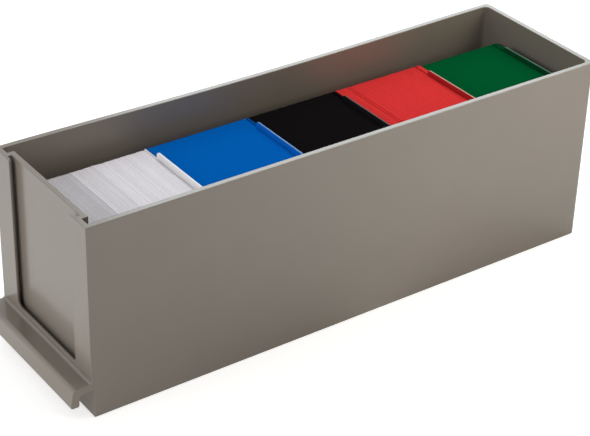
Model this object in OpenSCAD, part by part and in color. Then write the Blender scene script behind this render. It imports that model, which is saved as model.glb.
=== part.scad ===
// Card drawer tray with a label channel and a finger lip, holding packs of sleeved cards
// and their dividers. Millimetres. The origin is the middle of the underside.
// +X is to the right seen from the front, +Y points to the rear and +Z up.

/* [Tray] */
// Outer width of the tray
tray_w = 94; // [86:1:120]
// Length from the flange faces to the rear face
tray_l = 329; // [300:1:400]
// Height of the walls
tray_h = 113; // [104:1:140]
// Thickness of the side and rear walls
wall_t = 3.2; // [2.4:0.1:4]
// Thickness of the floor
floor_t = 3.2; // [2:0.1:5]
// Outer radius of the upright rear corners
rear_corner_r = 3; // [1:0.5:4]
// Radius of the upright rear corners inside
inner_corner_r = 3; // [0.5:0.5:4]
// Radius of the upright front corners
front_corner_r = 1; // [0.5:0.5:2.5]
// How far the rim of the long left wall bows inwards at mid-length
wall_bow = 2.8; // [0.5:0.1:5]

/* [Label channel] */
// Width of the channel between its two webs
channel_w = 69.8; // [56:0.2:74]
// Thickness of the webs that carry the recessed panel
web_t = 3.2; // [2:0.1:4]
// Thickness of the flanges beside the channel
flange_t = 3; // [2:0.1:4]
// Thickness of the recessed panel behind the label
panel_t = 3; // [2:0.1:4]
// Depth of the slot that takes the label
slot_gap = 2.4; // [1:0.1:4]
// Thickness of the edge that holds the label in front
edge_t = 1.4; // [1:0.1:2]
// Width of that edge beside and below the window
edge_w = 4.1; // [2:0.1:6]
// Height of the slot's floor above the underside
slot_floor = 20.8; // [18:0.1:26]
// Radius of the window's lower corners
window_r = 3; // [1:0.5:5]
// Radius of the flanges' upper inner corners
flange_top_r = 2; // [1:0.5:3]

/* [Finger lip] */
// How far the lip stands out in front of the flanges
lip_reach = 12.1; // [8:0.1:18]
// Height of the lip's top face above the underside
lip_top = 21.1; // [20.5:0.1:24]
// Thickness of the lip's shelf
lip_t = 4.2; // [3:0.1:6]
// Height of the lip's lower edge above the underside
lip_bottom = 10.1; // [5:0.1:12]
// Thickness of the lip's nose at its lower edge
nose_t = 5; // [3.5:0.1:6]
// How far the nose's front face leans back at the top
nose_lean = 1.3; // [0:0.1:2.5]
// Radius of the nose's upper edge
nose_r = 2.5; // [1:0.1:3]
// Radius of the lip's lower edges
lip_r = 1.2; // [0.5:0.1:1.5]
// Radius of the throat where a finger pulls
throat_r = 1.9; // [1:0.1:3]
// Radius of the fillet between the lip and the rail above it
rail_fillet_r = 1.5; // [0.5:0.1:2]
// Set-back of the front face below the lip
apron_setback = 1.3; // [0.5:0.1:2]

/* [Cards] */
// Width of a sleeved card
card_w = 66; // [56:1:70]
// Height of a sleeved card
card_h = 92.2; // [80:0.2:95]
// Corner radius of a card
card_r = 3; // [1:0.5:5]
// Depth of the white cards in front of their divider
white_depth = 73.2; // [20:0.1:100]
// Depth of the blue cards in front of their divider
blue_depth = 61.9; // [20:0.1:80]
// Depth of the black cards in front of their divider
black_depth = 56.3; // [20:0.1:80]
// Depth of the red cards in front of their divider
red_depth = 56.6; // [20:0.1:80]
// Depth of the blue cards behind their divider
blue_behind = 0.6; // [0.5:0.1:5]
// Depth of the black cards behind their divider
black_behind = 1.7; // [0.5:0.1:5]
// Depth of the red cards behind their divider
red_behind = 2.8; // [0.5:0.1:5]
// Depth of the green cards behind their divider
green_behind = 2.9; // [0.5:0.1:5]
// Air behind the rearmost cards
rear_gap = 2.7; // [0.5:0.1:10]
// How far the green cards and their divider stand to the right
green_shift = 1.5; // [0:0.1:3]
// Depth of one block of cards that stands level
block_t = 4.6; // [2:0.2:12]
// Air between neighbouring blocks
block_gap = 0.1; // [0.05:0.05:0.3]
// How much lower the lowest block stands than the highest
height_scatter = 0.4; // [0.1:0.1:1.5]

/* [Dividers] */
// Thickness of a divider
divider_t = 1; // [0.6:0.1:1.5]
// Width of a divider
divider_w = 66; // [56:1:70]
// Width of the notch that leaves the rest of the divider's upper edge as a tab
notch_w = 12.8; // [5:0.2:40]
// Height of the tab's edge above the card tops
tab_rise = 3.1; // [2:0.1:9]
// Depth of the notch's floor below the card tops
shoulder_drop = 1.2; // [0:0.1:8]
// Radius of the tab's upper corners
tab_r = 2; // [0.5:0.5:3]
// How far the red divider stands to the right
red_shift = 1.5; // [0:0.1:3]

/* [Fits] */
// Clearance between packs and dividers, and in front of the foremost cards
stack_fit = 0.15; // [0.1:0.05:0.3]

/* [Hidden] */
$fn = 48;

plastic_grey = [0.55, 0.53, 0.49];
card_white = [0.9, 0.9, 0.93];
card_blue = [0.02, 0.33, 0.68];
card_black = [0.07, 0.07, 0.08];
card_red = [0.8, 0.15, 0.17];
card_green = [0.02, 0.35, 0.19];

// How far a cutting shape runs past the face that it cuts
over = 1;

// The front, measured back from the flange faces
front_y = -tray_l / 2;
panel_front = edge_t + slot_gap;
panel_back = panel_front + panel_t;
inner_w = tray_w - 2 * wall_t;
inner_end = tray_l - wall_t;
web_outer = channel_w / 2 + web_t;
window_w = channel_w - 2 * edge_w;
rail_top = slot_floor + edge_w;
lip_under = lip_top - lip_t;

// The bowed stretch of the left wall runs between the straight ends
bow_margin = 1.5;
bow_start = panel_back + bow_margin;
bow_end = inner_end - bow_margin;
bow_fullness = 1.3;
bow_fade = 1.5;
bow_stations = 24;
bow_levels = 6;

// Where each pack and divider starts, going back from the panel
white_start = panel_back + stack_fit;
white_divider_at = white_start + white_depth + stack_fit;
blue_start = white_divider_at + divider_t + stack_fit;
blue_divider_at = blue_start + blue_depth + stack_fit;
blue_behind_at = blue_divider_at + divider_t + stack_fit;
black_start = blue_behind_at + blue_behind + stack_fit;
black_divider_at = black_start + black_depth + stack_fit;
black_behind_at = black_divider_at + divider_t + stack_fit;
red_start = black_behind_at + black_behind + stack_fit;
red_divider_at = red_start + red_depth + stack_fit;
red_behind_at = red_divider_at + divider_t + stack_fit;
green_start = red_behind_at + red_behind + stack_fit;
green_behind_at = inner_end - rear_gap - green_behind;
green_divider_at = green_behind_at - stack_fit - divider_t;
green_depth = green_divider_at - stack_fit - green_start;

// Points on an arc in the plane, from one angle to another
function arc(centre, r, from, to, steps = 8) = [
  for (i = [0:steps])
    let (a = from + (to - from) * i / steps)
      centre + r * [cos(a), sin(a)]
];

// Inward bow of the left wall at a distance from the flange faces and a height
function bow(y, z) =
  let (
    along = (y - bow_start) / (bow_end - bow_start),
    up = (z - floor_t) / (tray_h - floor_t)
  )
    wall_bow * pow(max(0, sin(180 * along)), bow_fullness) * pow(up, bow_fade);

// A number from 0 to 1 that wanders from block to block
function wander(i) = 0.5 + 0.5 * sin(137.5 * i) * cos(61.8 * i);

// Waste at a corner whose material lies towards +X and +Y, leaving a round of radius r
module corner_waste(r) {
  difference() {
    translate([-over, -over])
      square(r + over);
    translate([r, r])
      circle(r);
  }
}

// Sets an outline drawn in X and Z upright, going back from y by the depth
module upright(y, depth) {
  translate([0, y + depth, 0])
    rotate([90, 0, 0])
      linear_extrude(depth)
        children();
}

// Plan of the whole tray, before it is hollowed
module outer_plan() {
  difference() {
    translate([-tray_w / 2, 0])
      square([tray_w, tray_l]);
    for (side = [0, 1])
      mirror([side, 0])
        translate([-tray_w / 2, 0]) {
          corner_waste(front_corner_r);
          translate([0, tray_l])
            mirror([0, 1])
              corner_waste(rear_corner_r);
        }
  }
}

// Plan of the main hollow, where the packs stand
module hollow_plan() {
  difference() {
    translate([-inner_w / 2, panel_back])
      square([inner_w, inner_end - panel_back]);
    for (side = [0, 1])
      mirror([side, 0])
        translate([-inner_w / 2, inner_end])
          mirror([0, 1])
            corner_waste(inner_corner_r);
  }
}

// Window through which the label shows, open at the top
module window_outline() {
  difference() {
    translate([-window_w / 2, rail_top])
      square([window_w, tray_h - rail_top + over]);
    for (side = [0, 1])
      mirror([side, 0])
        translate([-window_w / 2, rail_top])
          corner_waste(window_r);
  }
  for (side = [0, 1])
    mirror([side, 0])
      translate([window_w / 2, tray_h])
        mirror([0, 1])
          corner_waste(flange_top_r);
}

// Hollows between each web and the side wall, behind the flanges
module flange_pockets() {
  pocket_w = inner_w / 2 - web_outer;
  for (side = [0, 1])
    mirror([side, 0]) {
      translate([web_outer, flange_t, lip_under])
        cube([pocket_w, panel_back - flange_t + over, tray_h]);
      translate([web_outer, apron_setback + wall_t, floor_t])
        cube([pocket_w, panel_back - apron_setback - wall_t + over, tray_h]);
    }
}

// The left wall between its straight ends, as a lofted sheet that leans in at the rim
module bowed_wall() {
  ring = 2 * (bow_levels + 1);
  function level_z(j) = floor_t + (tray_h - floor_t) * j / bow_levels;
  function station_y(i) = bow_start + (bow_end - bow_start) * i / bow_stations;
  points = [
    for (i = [0:bow_stations])
      for (k = [0:ring - 1])
        let (
          outside = k <= bow_levels,
          j = outside ? k : ring - 1 - k,
          x = -tray_w / 2 + (outside ? 0 : wall_t),
          y = station_y(i),
          z = level_z(j)
        )
          [x + bow(y, z), y, z]
  ];
  sides = [
    for (i = [0:bow_stations - 1])
      for (k = [0:ring - 1])
        let (
          a = i * ring + k,
          b = i * ring + (k + 1) % ring,
          c = a + ring,
          d = b + ring
        )
          each [[a, d, b], [a, c, d]]
  ];
  last = bow_stations * ring;
  caps = [
    for (j = [0:bow_levels - 1])
      let (low_in = ring - 1 - j, high_in = ring - 2 - j)
        each [
          [low_in, j + 1, high_in],
          [low_in, j, j + 1],
          [last + j, last + high_in, last + j + 1],
          [last + j, last + low_in, last + high_in]
        ]
  ];
  polyhedron(points, concat(sides, caps), convexity = 4);
}

// Section of the down-turned finger lip, in Y and Z
module lip_section() {
  lean = atan2(nose_lean, lip_top - lip_bottom - nose_r - lip_r);
  nose_y = -lip_reach + nose_t;
  polygon(concat(
    arc([-rail_fillet_r, lip_top + rail_fillet_r], rail_fillet_r, 0, -90),
    arc([-lip_reach + nose_lean + nose_r, lip_top - nose_r], nose_r, 90, 180 - lean),
    arc([-lip_reach + lip_r, lip_bottom + lip_r], lip_r, 180 - lean, 270),
    arc([nose_y - lip_r, lip_bottom + lip_r], lip_r, 270, 360),
    arc([nose_y + throat_r, lip_under - throat_r], throat_r, 180, 90),
    [[apron_setback, lip_under], [apron_setback, lip_top + rail_fillet_r]]
  ));
}

module tray() {
  color(plastic_grey)
    translate([0, front_y, 0]) {
      difference() {
        linear_extrude(tray_h)
          outer_plan();
        translate([0, 0, floor_t])
          linear_extrude(tray_h)
            hollow_plan();
        flange_pockets();
        upright(-over, edge_t + over)
          window_outline();
        translate([-channel_w / 2, edge_t, slot_floor])
          cube([channel_w, slot_gap, tray_h]);
        translate([-tray_w, -over, -over])
          cube([2 * tray_w, apron_setback + over, lip_under + over]);
        translate([-tray_w / 2 - over, bow_start, floor_t])
          cube([wall_t + over, bow_end - bow_start, tray_h]);
      }
      translate([-tray_w / 2, 0, 0])
        rotate([90, 0, 90])
          linear_extrude(tray_w)
            lip_section();
      bowed_wall();
    }
}

// Outline of a sleeved card, standing on the floor
module card_outline(height) {
  difference() {
    translate([-card_w / 2, 0])
      square([card_w, height]);
    for (side = [0, 1])
      mirror([side, 0])
        translate([-card_w / 2, 0]) {
          corner_waste(card_r);
          translate([0, height])
            mirror([0, 1])
              corner_waste(card_r);
        }
  }
}

// Cards from a distance behind the flange faces, as level blocks of a few cards each
module card_blocks(start, depth, seed) {
  count = max(1, round(depth / block_t));
  pitch = (depth + block_gap) / count;
  translate([0, front_y, floor_t])
    for (i = [0:count - 1])
      upright(start + i * pitch, pitch - block_gap)
        card_outline(card_h - height_scatter * wander(seed + i));
}

// A divider whose upper edge is notched at the left, so that the rest stands up as a tab
module divider(at) {
  tab_h = card_h + tab_rise;
  translate([-divider_w / 2, front_y, floor_t])
    upright(at, divider_t)
      difference() {
        square([divider_w, tab_h]);
        translate([-over, card_h - shoulder_drop])
          square([notch_w + over, tab_h]);
        translate([notch_w, tab_h])
          mirror([0, 1])
            corner_waste(tab_r);
        translate([divider_w, tab_h])
          rotate(180)
            corner_waste(tab_r);
      }
}

module white_cards() {
  color(card_white)
    card_blocks(white_start, white_depth, 3);
}

module white_divider() {
  color(card_white)
    divider(white_divider_at);
}

module blue_cards() {
  color(card_blue) {
    card_blocks(blue_start, blue_depth, 19);
    card_blocks(blue_behind_at, blue_behind, 34);
  }
}

module blue_divider() {
  color(card_blue)
    divider(blue_divider_at);
}

module black_cards() {
  color(card_black) {
    card_blocks(black_start, black_depth, 41);
    card_blocks(black_behind_at, black_behind, 55);
  }
}

module black_divider() {
  color(card_black)
    divider(black_divider_at);
}

module red_cards() {
  color(card_red) {
    card_blocks(red_start, red_depth, 62);
    card_blocks(red_behind_at, red_behind, 76);
  }
}

module red_divider() {
  color(card_red)
    translate([red_shift, 0, 0])
      divider(red_divider_at);
}

module green_cards() {
  color(card_green)
    translate([green_shift, 0, 0]) {
      card_blocks(green_start, green_depth, 83);
      card_blocks(green_behind_at, green_behind, 97);
    }
}

module green_divider() {
  color(card_green)
    translate([green_shift, 0, 0])
      divider(green_divider_at);
}

tray();
white_cards();
white_divider();
blue_cards();
blue_divider();
black_cards();
black_divider();
red_cards();
red_divider();
green_cards();
green_divider();
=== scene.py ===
"""Looks of the card drawer tray, its five packs of sleeved cards and their dividers."""
import math
import random

import bmesh
import bpy
from mathutils import Matrix, Vector


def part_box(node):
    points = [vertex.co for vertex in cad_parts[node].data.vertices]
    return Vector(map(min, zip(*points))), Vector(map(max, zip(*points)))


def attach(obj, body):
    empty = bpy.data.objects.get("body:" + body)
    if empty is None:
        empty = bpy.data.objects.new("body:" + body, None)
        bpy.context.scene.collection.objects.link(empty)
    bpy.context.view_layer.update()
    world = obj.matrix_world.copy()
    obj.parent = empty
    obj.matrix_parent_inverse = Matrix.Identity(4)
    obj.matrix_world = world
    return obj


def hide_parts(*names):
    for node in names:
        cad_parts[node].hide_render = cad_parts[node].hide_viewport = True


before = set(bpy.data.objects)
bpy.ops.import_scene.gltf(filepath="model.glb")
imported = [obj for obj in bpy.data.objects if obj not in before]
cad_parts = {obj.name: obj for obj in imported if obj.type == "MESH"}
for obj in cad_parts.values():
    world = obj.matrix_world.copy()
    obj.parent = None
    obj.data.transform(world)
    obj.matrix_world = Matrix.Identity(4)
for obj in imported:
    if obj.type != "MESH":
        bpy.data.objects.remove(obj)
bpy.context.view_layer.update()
MM = 0.001
COLOURS = ("white", "blue", "black", "red", "green")

# The tray's outer faces come from the frame, its wall sizes repeat those of the source
TRAY_LOW, TRAY_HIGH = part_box("tray")
HALF_W = TRAY_HIGH.x
RIM = TRAY_HIGH.z
REAR = TRAY_HIGH.y
LIP_REACH = 12.1 * MM
FRONT = TRAY_LOW.y + LIP_REACH
WALL = 3.2 * MM
FLOOR = 3.2 * MM
REAR_CORNER_R = 3 * MM
INNER_CORNER_R = 3 * MM
EDGE_R = 0.35 * MM
EDGE_STEPS = 3
SHARP_ANGLE = math.radians(35)
FLAT_ANGLE = math.radians(0.5)
CUT_OVER = 5 * MM

# Label channel between the flanges
CHANNEL_HALF = 34.9 * MM
WEB = 3.2 * MM
FLANGE = 3 * MM
PANEL = 3 * MM
SLOT_GAP = 2.4 * MM
EDGE_T = 1.4 * MM
EDGE_W = 4.1 * MM
SLOT_FLOOR = 20.8 * MM
WINDOW_R = 3 * MM
FLANGE_TOP_R = 2 * MM
PANEL_FRONT = FRONT + EDGE_T + SLOT_GAP
PANEL_BACK = PANEL_FRONT + PANEL
WINDOW_HALF = CHANNEL_HALF - EDGE_W
RAIL_TOP = SLOT_FLOOR + EDGE_W

# Finger lip
LIP_TOP = 21.1 * MM
LIP_UNDER = LIP_TOP - 4.2 * MM
LIP_BOTTOM = 10.1 * MM
NOSE_T = 5 * MM
NOSE_LEAN = 1.3 * MM
NOSE_R = 2.5 * MM
LIP_R = 1.2 * MM
THROAT_R = 1.9 * MM
RAIL_FILLET_R = 1.5 * MM
APRON_SETBACK = 1.3 * MM

# Inward bow of the long left wall
BOW = 2.8 * MM
BOW_MARGIN = 1.5 * MM
BOW_START = PANEL_BACK + BOW_MARGIN
BOW_END = REAR - WALL - BOW_MARGIN
BOW_FULLNESS = 1.3
BOW_FADE = 1.5
BOW_STATIONS = 40
BOW_LEVELS = 10
BOW_LEVEL_SPREAD = 0.8

# Cards: how unevenly they stand is in proportion to the looseness of their pack
CARD_PITCH = 0.62 * MM
CARD_R = 3 * MM
CARD_EDGE = 0.07 * MM
CARD_SIDE = 0.25 * MM
CARD_FILL = 0.985
CARD_FILL_LOSS = 0.045
CARD_SHIFT = 0.2 * MM
DROP_FOLLOW = 0.25
DROP_MOST = 0.3
DROP_SINGLE = 0.1

# Dividers
DIVIDER_FIT = 0.1 * MM
DIVIDER_EDGE = 0.12 * MM
NOTCH_W = 12.8 * MM
NOTCH_DEPTH = 4.3 * MM
NOTCH_R = 0.6 * MM
TAB_R = 2 * MM

# Camera, solved from the photograph's straight edges
CAMERA_PLACE = Vector((0.69621, -0.51374, 0.56760))
CAMERA_AIM = Vector((-0.690640, 0.502015, -0.520574))
CAMERA_ROLL = math.radians(1.682)
CAMERA_LENS = 110.80
SENSOR_W = 36


def arc(u, v, r, start, end, steps=8):
    """Points on an arc round (u, v), with its angles in degrees."""
    turns = [math.radians(start + (end - start) * i / steps) for i in range(steps + 1)]
    return [(u + r * math.cos(a), v + r * math.sin(a)) for a in turns]


def upward(u, v, w):
    """Places an outline drawn in X and Y, extruded along Z."""
    return (u, v, w)


def rearward(u, v, w):
    """Places an outline drawn in X and Z, extruded along Y."""
    return (u, w, v)


def sideways(u, v, w):
    """Places an outline drawn in Y and Z, extruded along X."""
    return (w, u, v)


def linked(name, bm):
    """A new object in the scene that holds the finished mesh."""
    mesh = bpy.data.meshes.new(name)
    bmesh.ops.recalc_face_normals(bm, faces=bm.faces)
    bm.to_mesh(mesh)
    bm.free()
    piece = bpy.data.objects.new(name, mesh)
    bpy.context.scene.collection.objects.link(piece)
    return piece


def prism(name, outline, low, high, place):
    """A closed solid: an outline extruded from low to high."""
    bm = bmesh.new()
    rings = [[bm.verts.new(place(u, v, w)) for u, v in outline] for w in (low, high)]
    count = len(outline)
    bm.faces.new(rings[0])
    bm.faces.new(rings[1])
    for i in range(count):
        j = (i + 1) % count
        bm.faces.new((rings[0][i], rings[0][j], rings[1][j], rings[1][i]))
    return linked(name, bm)


def block(name, low, high):
    """A closed box between two corners, as a cutting shape."""
    outline = [(low[0], low[1]), (high[0], low[1]), (high[0], high[1]), (low[0], high[1])]
    return prism(name, outline, low[2], high[2], upward)


def settle(piece):
    """Applies the piece's modifiers to its mesh."""
    graph = bpy.context.evaluated_depsgraph_get()
    mesh = bpy.data.meshes.new_from_object(piece.evaluated_get(graph))
    piece.modifiers.clear()
    piece.data = mesh


def combine(piece, tools, operation):
    """Cuts the tools from the piece, or joins them to it, and removes them."""
    for tool in tools:
        change = piece.modifiers.new(tool.name, "BOOLEAN")
        change.operation = operation
        change.solver = "EXACT"
        change.object = tool
    settle(piece)
    for tool in tools:
        bpy.data.objects.remove(tool)


def outer_plan():
    """Plan of the tray, rounded at the rear. Its front corners get their round later."""
    w, r = HALF_W, REAR_CORNER_R
    return (
        [(-w, FRONT), (w, FRONT)]
        + arc(w - r, REAR - r, r, 0, 90)
        + arc(-w + r, REAR - r, r, 90, 180)
    )


def hollow_plan():
    """Plan of the main hollow, where the packs stand."""
    w, end, r = HALF_W - WALL, REAR - WALL, INNER_CORNER_R
    return (
        [(-w, PANEL_BACK), (w, PANEL_BACK)]
        + arc(w - r, end - r, r, 0, 90, 6)
        + arc(-w + r, end - r, r, 90, 180, 6)
    )


def window_outline():
    """The window through which a label shows, flared at the rim by the flanges' rounds."""
    w, r, t = WINDOW_HALF, WINDOW_R, FLANGE_TOP_R
    right_flare = arc(w + t, RIM - t, t, 180, 90, 6)
    left_flare = arc(-w - t, RIM - t, t, 90, 0, 6)
    return (
        arc(-w + r, RAIL_TOP + r, r, 180, 270)
        + arc(w - r, RAIL_TOP + r, r, 270, 360)
        + right_flare
        + [(w + t, RIM + CUT_OVER), (-w - t, RIM + CUT_OVER)]
        + left_flare
    )


def lip_section():
    """Section of the down-turned finger lip, in Y and Z."""
    lean = math.degrees(math.atan2(NOSE_LEAN, LIP_TOP - LIP_BOTTOM - NOSE_R - LIP_R))
    nose = FRONT - LIP_REACH
    throat = nose + NOSE_T
    return (
        arc(FRONT - RAIL_FILLET_R, LIP_TOP + RAIL_FILLET_R, RAIL_FILLET_R, 0, -90, 10)
        + arc(nose + NOSE_LEAN + NOSE_R, LIP_TOP - NOSE_R, NOSE_R, 90, 180 - lean, 8)
        + arc(nose + LIP_R, LIP_BOTTOM + LIP_R, LIP_R, 180 - lean, 270, 6)
        + arc(throat - LIP_R, LIP_BOTTOM + LIP_R, LIP_R, 270, 360, 6)
        + arc(throat + THROAT_R, LIP_UNDER - THROAT_R, THROAT_R, 180, 90, 6)
        + [(FRONT + APRON_SETBACK, LIP_UNDER), (FRONT + APRON_SETBACK, LIP_TOP + RAIL_FILLET_R)]
    )


def bow(y, z):
    """How far the left wall leans in at a place along the tray and a height."""
    along = (y - BOW_START) / (BOW_END - BOW_START)
    up = (z - FLOOR) / (RIM - FLOOR)
    if not 0 < along < 1 or up <= 0:
        return 0.0
    return BOW * math.sin(math.pi * along) ** BOW_FULLNESS * min(up, 1) ** BOW_FADE


def bend_left_wall(mesh):
    """Cuts the left wall into short stretches and leans them in by the bow."""
    bm = bmesh.new()
    bm.from_mesh(mesh)
    inner = -HALF_W + WALL + 2 * EDGE_R
    length, height = BOW_END - BOW_START, RIM - 2 * EDGE_R - FLOOR
    cuts = []
    for i in range(BOW_STATIONS + 1):
        station = BOW_START + length * i / BOW_STATIONS
        cuts.append((Vector((0, station, 0)), Vector((0, 1, 0))))
    for i in range(1, BOW_LEVELS + 1):
        level = FLOOR + height * (i / BOW_LEVELS) ** BOW_LEVEL_SPREAD
        cuts.append((Vector((0, 0, level)), Vector((0, 0, 1))))
    for place, normal in cuts:
        faces = [f for f in bm.faces if all(v.co.x < inner for v in f.verts)]
        edges = {e for f in faces for e in f.edges}
        verts = {v for f in faces for v in f.verts}
        geometry = list(verts) + list(edges) + faces
        bmesh.ops.bisect_plane(bm, geom=geometry, dist=1e-7, plane_co=place, plane_no=normal)
    for v in bm.verts:
        if v.co.x < inner:
            v.co.x += bow(v.co.y, v.co.z)
    bm.to_mesh(mesh)
    bm.free()


def tidy_faces(mesh):
    """Joins what the cuts left in one plane."""
    bm = bmesh.new()
    bm.from_mesh(mesh)
    bmesh.ops.remove_doubles(bm, verts=bm.verts, dist=1e-6)
    bmesh.ops.dissolve_limit(
        bm, angle_limit=FLAT_ANGLE, verts=bm.verts, edges=bm.edges, use_dissolve_boundaries=False)
    bm.to_mesh(mesh)
    bm.free()


def soften(piece):
    """Rounds the piece's sharp edges."""
    bevel = piece.modifiers.new("rounded edges", "BEVEL")
    bevel.width = EDGE_R
    bevel.segments = EDGE_STEPS
    bevel.limit_method = "ANGLE"
    bevel.angle_limit = SHARP_ANGLE
    bevel.use_clamp_overlap = False
    bevel.miter_outer = "MITER_ARC"
    settle(piece)


def shade_smooth(piece):
    """Smooth shading that leaves the large faces flat."""
    for face in piece.data.polygons:
        face.use_smooth = True
    normals = piece.modifiers.new("weighted normals", "WEIGHTED_NORMAL")
    normals.keep_sharp = True
    normals.weight = 100


def make_tray():
    """The one-piece moulding: shell, label channel and finger lip."""
    top, apron = RIM + CUT_OVER, FRONT + APRON_SETBACK
    tray = prism("tray_moulding", outer_plan(), 0, RIM, upward)
    cutters = [
        prism("hollow", hollow_plan(), FLOOR, top, upward),
        prism("window", window_outline(), FRONT - CUT_OVER, FRONT + EDGE_T + MM, rearward),
        block("slot",
              (-CHANNEL_HALF, FRONT + EDGE_T, SLOT_FLOOR), (CHANNEL_HALF, PANEL_FRONT, top)),
        block("apron",
              (-2 * HALF_W, FRONT - CUT_OVER, -CUT_OVER), (2 * HALF_W, apron, LIP_UNDER)),
    ]
    for side in (-1, 1):
        near, far = sorted((side * (CHANNEL_HALF + WEB), side * (HALF_W - WALL)))
        end = (far, PANEL_BACK + MM, top)
        cutters.append(block(f"upper_pocket_{side}", (near, FRONT + FLANGE, LIP_UNDER), end))
        cutters.append(block(f"lower_pocket_{side}", (near, apron + WALL, FLOOR), end))
    combine(tray, cutters, "DIFFERENCE")
    lip = prism("lip", lip_section(), -HALF_W, HALF_W, sideways)
    combine(tray, [lip], "UNION")
    tidy_faces(tray.data)
    soften(tray)
    bend_left_wall(tray.data)
    shade_smooth(tray)
    return tray


def card_outline(left, right, bottom, top, r, steps=4):
    """Upright outline of a sleeved card, in X and Z."""
    return (
        arc(left + r, bottom + r, r, 180, 270, steps)
        + arc(right - r, bottom + r, r, 270, 360, steps)
        + arc(right - r, top - r, r, 0, 90, steps)
        + arc(left + r, top - r, r, 90, 180, steps)
    )


def divider_outline(left, right, bottom, top):
    """Upright outline of a divider, notched at the left so that the rest is a tab, in X and Z."""
    shoulder = top - NOTCH_DEPTH
    tab = left + NOTCH_W
    return (
        [(left, bottom), (right, bottom)]
        + arc(right - TAB_R, top - TAB_R, TAB_R, 0, 90, 6)
        + arc(tab + TAB_R, top - TAB_R, TAB_R, 90, 180, 6)
        + arc(tab - NOTCH_R, shoulder + NOTCH_R, NOTCH_R, 0, -90, 4)
        + arc(left + NOTCH_R, shoulder - NOTCH_R, NOTCH_R, 90, 180, 4)
    )


def inset(outline, amount):
    """The outline drawn in by a small amount, its points moved square to it."""
    moved = []
    count = len(outline)
    for i, (u, v) in enumerate(outline):
        before, after = outline[i - 1], outline[(i + 1) % count]
        along = Vector((after[0] - before[0], after[1] - before[1])).normalized()
        moved.append((u - along.y * amount, v + along.x * amount))
    return moved


def add_plate(bm, outline, front, back, edge, shift=0.0):
    """Adds a thin upright plate with softened edges and returns its flat and rim faces."""
    small = inset(outline, edge)
    layers = [(small, front), (outline, front + edge), (outline, back - edge), (small, back)]
    rings = [[bm.verts.new((u + shift, y, v)) for u, v in points] for points, y in layers]
    count = len(outline)
    flat = [bm.faces.new(list(reversed(rings[0]))), bm.faces.new(rings[-1])]
    rim = []
    for lower, upper in zip(rings, rings[1:]):
        for i in range(count):
            j = (i + 1) % count
            rim.append(bm.faces.new((lower[i], lower[j], upper[j], upper[i])))
    return flat, rim


def stack_run(node, divider, behind):
    """Where a pack's cards start and end, in front of its divider or behind it."""
    low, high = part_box(node)
    divider_low, divider_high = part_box(divider)
    if behind:
        return divider_high.y + DIVIDER_FIT, high.y
    return low.y, min(high.y, divider_low.y - DIVIDER_FIT)


def carried_over(name, bm, node):
    """The finished mesh as a piece that stands for a node and rides on it."""
    piece = linked(name, bm)
    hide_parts(node)
    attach(piece, node)
    return piece


def make_cards(colour, seed, tones, loose):
    """A pack of separate sleeved cards.

    tones gives each card's lightness and height, and loose says how unevenly they stand.
    """
    node, divider = colour + "_cards", colour + "_divider"
    low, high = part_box(node)
    chance = random.Random(seed)
    bm = bmesh.new()
    tone_layer = bm.faces.layers.float.new("tone")
    for behind in (False, True):
        start, end = stack_run(node, divider, behind)
        if end <= start:
            continue
        count = max(1, int((end - start) / CARD_PITCH + 0.5))
        pitch = (end - start) / count
        thick = pitch * (CARD_FILL - CARD_FILL_LOSS * loose)
        drop = 0.0
        for i in range(count):
            front = start + i * pitch
            place = (front - low.y) / (high.y - low.y)
            drop += DROP_FOLLOW * (chance.random() * DROP_MOST * loose * MM - drop)
            tone, lift = tones(place, chance)
            top = min(high.z, high.z - drop - DROP_SINGLE * loose * MM * chance.random() + lift)
            outline = card_outline(low.x + CARD_SIDE, high.x - CARD_SIDE, low.z, top, CARD_R)
            shift = chance.uniform(-CARD_SHIFT, CARD_SHIFT)
            flat, rim = add_plate(bm, outline, front, front + thick, CARD_EDGE, shift)
            for face in flat + rim:
                face[tone_layer] = tone
    return carried_over(colour + "_sleeved_cards", bm, node)


def make_divider(colour):
    """A thin plastic divider with a raised tab, whose cut edge is a material of its own with a
    painted highlight.
    """
    node = colour + "_divider"
    low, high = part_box(node)
    bm = bmesh.new()
    outline = divider_outline(low.x, high.x, low.z, high.z)
    _, rim = add_plate(bm, outline, low.y, high.y, DIVIDER_EDGE)
    for face in rim:
        face.material_index = 1
    return carried_over(colour + "_tab_divider", bm, node)


class Nodes:
    """A short way to lay out a material's or the world's nodes."""

    def __init__(self, owner):
        owner.use_nodes = True
        self.tree = owner.node_tree
        self.tree.nodes.clear()

    def add(self, kind, links=(), **values):
        """A node with its inputs set by name, or linked from another node's output."""
        node = self.tree.nodes.new(kind)
        for name, value in values.items():
            setattr(node, name, value)
        for socket, value in dict(links).items():
            target = node.inputs[socket]
            if isinstance(value, bpy.types.NodeSocket):
                self.tree.links.new(value, target)
            else:
                target.default_value = value
        return node


def blended(nodes, share, low, high):
    """A colour between low and high, by a share from 0 to 1."""
    ramp = nodes.add("ShaderNodeValToRGB", {"Fac": share})
    ramp.color_ramp.elements[0].color = (*low, 1)
    ramp.color_ramp.elements[1].color = (*high, 1)
    return ramp.outputs["Color"]


def remapped(nodes, value, low, high):
    """A value from 0 to 1 spread from low to high."""
    spread = nodes.add("ShaderNodeMapRange", {"Value": value, "To Min": low, "To Max": high})
    return spread.outputs["Result"]


def grain(nodes, scale, detail, stretch=(1, 1, 1)):
    """Fine noise on the object's own coordinates, scale in grains a metre."""
    place = nodes.add("ShaderNodeTexCoord").outputs["Object"]
    mapping = nodes.add("ShaderNodeMapping", {"Vector": place, "Scale": stretch})
    noise = nodes.add("ShaderNodeTexNoise", {
        "Vector": mapping.outputs["Vector"], "Scale": scale, "Detail": detail})
    return noise.outputs["Fac"]


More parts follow.
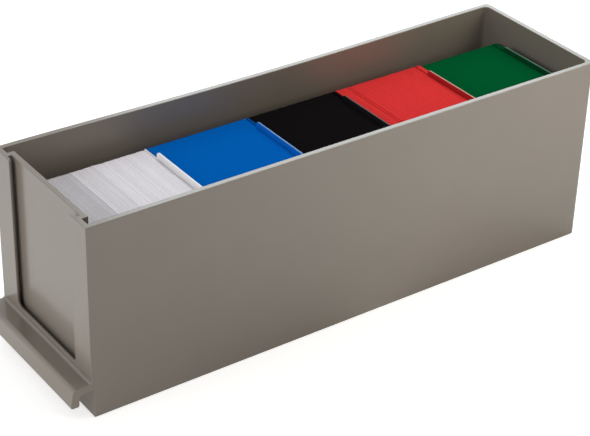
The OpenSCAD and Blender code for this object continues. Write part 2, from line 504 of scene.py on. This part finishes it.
def finish_surface(nodes, colour, roughness, height, depth, specular):
    """The principled shader, with a bump of a real depth, wired to the output."""
    bump = nodes.add("ShaderNodeBump", {"Height": height, "Distance": depth, "Strength": 1.0})
    shader = nodes.add("ShaderNodeBsdfPrincipled", {
        "Base Color": colour, "Roughness": roughness, "Normal": bump.outputs["Normal"],
        "Specular IOR Level": specular})
    nodes.add("ShaderNodeOutputMaterial", {"Surface": shader.outputs["BSDF"]})


def shade(rgb, factor):
    """The colour made lighter or darker."""
    return tuple(min(1.0, c * factor) for c in rgb)


# Linear colour of the tray, and its finish: glossier outside than inside
PLASTIC = (0.222, 0.194, 0.163)
PLASTIC_SHEEN = 0.7
PLASTIC_GLOSS = (0.17, 0.23)
PLASTIC_GRAIN = 0.006 * MM
INSIDE_ROUGHER = 0.30
INSIDE_MIDDLE = (0.0, 2.5 * MM, 56.0 * MM)
INSIDE_FRONT = -158.5 * MM
# Finish of the cards' edges, the dividers' faces and the dividers' cut edges
CARD_ROUGHNESS, CARD_SHEEN, CARD_GRAIN = 0.45, 0.0, 0.02 * MM
SHEET_ROUGHNESS, SHEET_SHEEN, SHEET_GRAIN = 0.3, 0.5, 0.008 * MM
CUT_ROUGHNESS, CUT_SHEEN = 0.4, 0.15


def inside_mask(nodes):
    """1 on the tray's inner faces, which keep a duller mould finish, and 0 elsewhere.

    These are the faces behind the panel's middle that look towards the middle of the hollow.
    """
    place = nodes.add("ShaderNodeTexCoord").outputs["Object"]
    normal = nodes.add("ShaderNodeNewGeometry").outputs["True Normal"]
    inwards = nodes.add("ShaderNodeVectorMath", {0: INSIDE_MIDDLE, 1: place}, operation="SUBTRACT")
    facing = nodes.add(
        "ShaderNodeVectorMath", {0: inwards.outputs[0], 1: normal}, operation="DOT_PRODUCT")
    faces_in = nodes.add(
        "ShaderNodeMath", {0: facing.outputs["Value"], 1: 0.0}, operation="GREATER_THAN")
    along = nodes.add("ShaderNodeSeparateXYZ", {"Vector": place}).outputs["Y"]
    behind = nodes.add("ShaderNodeMath", {0: along, 1: INSIDE_FRONT}, operation="GREATER_THAN")
    both = nodes.add(
        "ShaderNodeMath", {0: faces_in.outputs[0], 1: behind.outputs[0]}, operation="MULTIPLY")
    return both.outputs[0]


def moulded_plastic():
    """Warm grey moulded plastic: faint flow marks, a fine grain and a soft gloss, duller inside."""
    material = bpy.data.materials.new("moulded_grey_plastic")
    nodes = Nodes(material)
    flow = grain(nodes, 9, 4, (1, 0.35, 1.6))
    fine = grain(nodes, 1900, 2)
    cloud = grain(nodes, 45, 5)
    mix = nodes.add("ShaderNodeMath", {0: flow, 1: cloud, 2: 0.25}, operation="MULTIPLY_ADD")
    colour = blended(nodes, mix.outputs[0], shade(PLASTIC, 0.93), shade(PLASTIC, 1.07))
    gloss = remapped(nodes, cloud, *PLASTIC_GLOSS)
    roughness = nodes.add(
        "ShaderNodeMath", {0: inside_mask(nodes), 1: INSIDE_ROUGHER, 2: gloss},
        operation="MULTIPLY_ADD")
    finish_surface(nodes, colour, roughness.outputs[0], fine, PLASTIC_GRAIN, PLASTIC_SHEEN)
    return material


def card_stock(name, rgb, spread):
    """Edges of sleeved cards: each card has its own tone, with fine fibres along it."""
    material = bpy.data.materials.new(name)
    nodes = Nodes(material)
    tone = nodes.add("ShaderNodeAttribute", attribute_name="tone").outputs["Fac"]
    fibre = grain(nodes, 700, 3, (0.2, 1, 1))
    mix = nodes.add("ShaderNodeMath", {0: fibre, 1: 0.22, 2: tone}, operation="MULTIPLY_ADD")
    colour = blended(nodes, mix.outputs[0], shade(rgb, 1 - spread), shade(rgb, 1 + spread))
    roughness = remapped(nodes, fibre, CARD_ROUGHNESS - 0.06, CARD_ROUGHNESS + 0.08)
    finish_surface(nodes, colour, roughness, fibre, CARD_GRAIN, CARD_SHEEN)
    return material


def divider_sheet(name, rgb, roughness, sheen):
    """Smooth plastic sheet with light handling marks."""
    material = bpy.data.materials.new(name)
    nodes = Nodes(material)
    marks = grain(nodes, 120, 4, (1, 1, 0.4))
    fine = grain(nodes, 2500, 2)
    colour = blended(nodes, marks, shade(rgb, 0.94), shade(rgb, 1.05))
    worn = remapped(nodes, marks, roughness - 0.05, roughness + 0.08)
    finish_surface(nodes, colour, worn, fine, SHEET_GRAIN, sheen)
    return material


# Linear colours of the cards, the dividers' faces and the dividers' cut edges
CARD_RGB = {
    "white": (0.775, 0.75, 0.795),
    "blue": (0.001, 0.130, 0.52),
    "black": (0.0075, 0.0065, 0.007),
    "red": (0.73, 0.042, 0.042),
    "green": (0.0006, 0.097, 0.027),
}
SHEET_RGB = {
    "white": (0.98, 0.98, 0.98),
    "blue": (0.004, 0.175, 0.66),
    "black": (0.010, 0.010, 0.012),
    "red": (0.42, 0.016, 0.018),
    "green": (0.004, 0.060, 0.022),
}
# The cut edges are coloured lighter and paler than the faces, a painted highlight of the lit top
# edges
CUT_RGB = {
    "white": (0.95, 0.95, 0.95),
    "blue": (0.12, 0.29, 0.60),
    "black": (0.05, 0.02, 0.018),
    "red": (0.52, 0.25, 0.19),
    "green": (0.10, 0.24, 0.15),
}
SEEDS = {"white": 11, "blue": 23, "black": 37, "red": 41, "green": 59}
# How much the cards of a pack differ in lightness, and how unevenly they stand
SPREAD = {"white": 0.20, "blue": 0.03, "black": 0.15, "red": 0.10, "green": 0.04}
LOOSE = {"white": 1.0, "blue": 0.3, "black": 0.5, "red": 0.8, "green": 0.3}
# Lots of white cards as (end, lightness), by place in the pack from 0 to 1, and odd cards
WHITE_LOTS = ((0.37, 0.0), (0.55, 0.46), (1.01, 0.62))
# Proud white cards stand raised and are painted brightest, a painted highlight of their lit edges
WHITE_PROUD_HIGHLIT = (0.37, 0.55)
WHITE_LAST = 0.98
# Red cards that stand low and are also painted darkest, as painted shade
RED_LOW_SHADED = (0.12, 0.155)


def even_tones(place, chance):
    """Cards that look alike, with small differences."""
    return 0.4 + 0.2 * chance.random(), 0.0


def white_tones(place, chance):
    """White cards in three lots, duller in front, with a proud card between painted brightest as a
    painted highlight, the last ones low.
    """
    if any(abs(place - edge) < 0.004 for edge in WHITE_PROUD_HIGHLIT):
        # Painted highlight: the top tone stands for the light on the proud card's raised edge
        return 1.0, 0.15 * MM
    level = next(tone for end, tone in WHITE_LOTS if place < end)
    return level + 0.2 * chance.random(), (-1.1 if place > WHITE_LAST else -0.15) * MM


def red_tones(place, chance):
    """Red cards, two of which stand low and are painted darkest, a painted shade for the dark lines
    they leave.
    """
    if any(abs(place - edge) < 0.005 for edge in RED_LOW_SHADED):
        # Painted shade: the darkest tone stands for the shade in the gap the low card leaves
        return 0.0, -0.45 * MM
    return 0.35 + 0.3 * chance.random(), 0.0


TONES = {"white": white_tones, "red": red_tones}


def make_camera():
    """The photograph's camera."""
    camera = bpy.data.cameras.new("camera")
    camera.lens = CAMERA_LENS
    camera.sensor_width = SENSOR_W
    camera.sensor_fit = "HORIZONTAL"
    camera.clip_start = 0.05
    camera.clip_end = 20
    aim = CAMERA_AIM.normalized()
    level = aim.cross(Vector((0, 0, 1))).normalized()
    upright = level.cross(aim)
    right = level * math.cos(CAMERA_ROLL) + upright * math.sin(CAMERA_ROLL)
    up = right.cross(aim)
    turn = Matrix((right, up, -aim)).transposed()
    holder = bpy.data.objects.new("camera", camera)
    holder.matrix_world = Matrix.Translation(CAMERA_PLACE) @ turn.to_4x4()
    bpy.context.scene.collection.objects.link(holder)
    bpy.context.scene.camera = holder


LIGHT_TARGET = Vector((0, 0.05, 0.08))
WARM = (1.0, 0.93, 0.82)
COOL = (0.86, 0.97, 1.0)


def softbox(name, place, size, power, tint=(1, 1, 1)):
    """A square soft lamp that faces the object from a place."""
    lamp = bpy.data.lights.new(name, "AREA")
    lamp.shape = "SQUARE"
    lamp.size = size
    lamp.energy = power
    lamp.color = tint
    holder = bpy.data.objects.new(name, lamp)
    holder.location = place
    way = (Vector(place) - LIGHT_TARGET).normalized()
    holder.rotation_mode = "QUATERNION"
    holder.rotation_quaternion = way.to_track_quat("Z", "Y")
    bpy.context.scene.collection.objects.link(holder)


def towards(azimuth, elevation):
    """A direction, with the azimuth counted from +X."""
    a, e = math.radians(azimuth), math.radians(elevation)
    return (math.cos(a) * math.cos(e), math.sin(a) * math.cos(e), math.sin(e))


def lobe_sum(nodes, direction, lobes, base):
    """Adds up soft lobes: each has its middle direction, sharpness and strength."""
    total = base
    for middle, sharpness, strength in lobes:
        near = nodes.add("ShaderNodeVectorMath", {0: direction, 1: middle}, operation="DOT_PRODUCT")
        front = nodes.add("ShaderNodeMath", {0: near.outputs["Value"], 1: 0.0}, operation="MAXIMUM")
        lobe = nodes.add("ShaderNodeMath", {0: front.outputs[0], 1: sharpness}, operation="POWER")
        added = nodes.add(
            "ShaderNodeMath", {0: lobe.outputs[0], 1: strength, 2: total}, operation="MULTIPLY_ADD")
        total = added.outputs[0]
    return total


def chosen(nodes, rays, others, theirs):
    """A strength that is one value for the named kinds of ray, and another for the rest."""
    path = nodes.add("ShaderNodeLightPath")
    share = path.outputs[rays[0]]
    for kind in rays[1:]:
        either = nodes.add("ShaderNodeMath", {0: share, 1: path.outputs[kind]}, operation="MAXIMUM")
        share = either.outputs[0]
    return nodes.add("ShaderNodeMix", {"Factor": share, 2: others, 3: theirs}).outputs[0]


# Sky as a light: dim all over, brighter overhead and in front on the left
SKY_LOBES = (
    ((0, 0, 1), 3, 0.55),
    (towards(-150, 25), 5, 0.60),
    (towards(-90, 25), 5, 0.38),
)
SKY_BASE = 0.04
# Floor as a light, by direction from the tray: brightest in front and on the right
FLOOR_LOBES = (
    (towards(-130, 0), 10, 0.25),
    (towards(-92, 0), 10, 1.10),
    (towards(16, 0), 10, 0.95),
)
FLOOR_BASE = 0.04
FLOOR_ALBEDO = 0.8
FLOOR_SEEN = 0.6
FLOOR_MIRRORED = 0.3
FLOOR_REACH = 6.0
FLOOR_TOP = -0.1 * MM
FLOOR_DEEP = -20 * MM
CONTACT_REACH = 0.12


def make_world():
    """White surroundings for the camera and in reflections, dimmer as a light."""
    world = bpy.data.worlds.new("white surroundings")
    bpy.context.scene.world = world
    nodes = Nodes(world)
    place = nodes.add("ShaderNodeTexCoord").outputs["Generated"]
    direction = nodes.add("ShaderNodeVectorMath", {0: place}, operation="NORMALIZE").outputs[0]
    light = lobe_sum(nodes, direction, SKY_LOBES, SKY_BASE)
    seen = ("Is Camera Ray", "Is Glossy Ray", "Is Transmission Ray")
    background = nodes.add("ShaderNodeBackground", {
        "Color": (1, 1, 1, 1), "Strength": chosen(nodes, seen, light, 1.0)})
    nodes.add("ShaderNodeOutputWorld", {"Surface": background.outputs[0]})


def make_floor():
    """A wide white floor that keeps the object's shadow."""
    reach = FLOOR_REACH
    floor = block("floor", (-reach, -reach, FLOOR_DEEP), (reach, reach, FLOOR_TOP))
    material = bpy.data.materials.new("white_floor")
    nodes = Nodes(material)
    place = nodes.add("ShaderNodeNewGeometry").outputs["Position"]
    level = nodes.add("ShaderNodeVectorMath", {0: place, 1: (1, 1, 0)}, operation="MULTIPLY")
    direction = nodes.add("ShaderNodeVectorMath", {0: level.outputs[0]}, operation="NORMALIZE")
    light = lobe_sum(nodes, direction.outputs[0], FLOOR_LOBES, FLOOR_BASE)
    mirrored = chosen(nodes, ("Is Glossy Ray",), light, FLOOR_MIRRORED)
    # Painted shadow: the floor's glow is darkened near the object by ambient occlusion
    painted_contact_shadow = nodes.add("ShaderNodeAmbientOcclusion", {"Distance": CONTACT_REACH}, samples=8)
    shaded = nodes.add(
        "ShaderNodeMath", {0: mirrored, 1: painted_contact_shadow.outputs["AO"]}, operation="MULTIPLY")
    seen = ("Is Camera Ray", "Is Transmission Ray")
    strength = chosen(nodes, seen, shaded.outputs[0], FLOOR_SEEN)
    glow = nodes.add("ShaderNodeEmission", {"Color": (1, 1, 1, 1), "Strength": strength})
    paint = nodes.add("ShaderNodeBsdfDiffuse", {"Color": (FLOOR_ALBEDO,) * 3 + (1,)})
    both = nodes.add("ShaderNodeAddShader", {0: paint.outputs[0], 1: glow.outputs[0]})
    nodes.add("ShaderNodeOutputMaterial", {"Surface": both.outputs[0]})
    floor.data.materials.append(material)


def make_lights():
    """Softboxes: in front, above, a cool one rear left and small warm ones rear right."""
    softbox("front_softbox", (0.10, -0.92, 0.44), 0.5, 2.05)
    softbox("left_softbox", (-0.60, 0.50, 0.62), 0.5, 2.2, COOL)
    softbox("top_softbox", (-0.32, 0.35, 0.95), 0.5, 2.3)
    softbox("right_softbox", (0.45, 0.42, 0.30), 0.3, 0.42, WARM)
    softbox("high_softbox", (0.38, 0.36, 0.48), 0.3, 0.50, WARM)
    softbox("rear_softbox", (0.30, 0.25, 0.22), 0.25, 0.30, WARM)


tray = make_tray()
tray.data.materials.clear()
tray.data.materials.append(moulded_plastic())
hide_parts("tray")
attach(tray, "tray")

for colour in COLOURS:
    cards = make_cards(colour, SEEDS[colour], TONES.get(colour, even_tones), LOOSE[colour])
    cards.data.materials.append(
        card_stock(colour + "_card_edges", CARD_RGB[colour], SPREAD[colour]))
    sheet = make_divider(colour)
    sheet.data.materials.append(
        divider_sheet(colour + "_sheet", SHEET_RGB[colour], SHEET_ROUGHNESS, SHEET_SHEEN))
    sheet.data.materials.append(
        divider_sheet(colour + "_cut_edge", CUT_RGB[colour], CUT_ROUGHNESS, CUT_SHEEN))

make_camera()
make_world()
make_floor()
make_lights()

scene = bpy.context.scene
scene.view_settings.view_transform = "Standard"
